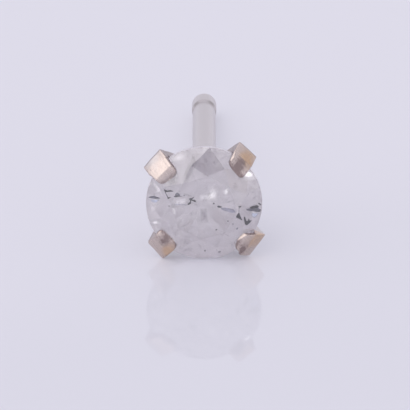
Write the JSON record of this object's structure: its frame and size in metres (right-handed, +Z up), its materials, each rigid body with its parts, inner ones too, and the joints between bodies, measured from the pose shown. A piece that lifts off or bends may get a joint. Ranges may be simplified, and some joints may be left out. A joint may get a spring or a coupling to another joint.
{
  "type": "diamond stud earring",
  "caption": "Stud earring: a round brilliant diamond in a claw setting on a straight ear post, lying unworn.",
  "frame": {"origin": "centre of the bounding box's underside, on the surface that the stud lies on", "axes": "+Z up, -Y the way the stone faces, +Y the way the ear post points, +X to the right seen from the stone's side"},
  "size_m": [0.004, 0.0128, 0.004],
  "materials": {
    "diamond": "polished flat facets, cloudy with pale feathers and fine dark specks inside",
    "white_gold": "worn polish with fine scratches, warm where the plating has rubbed off the claws"
  },
  "bodies": {
    "root": {"diamond": "diamond", "claw_setting": "white_gold"}
  },
  "joints": []
}
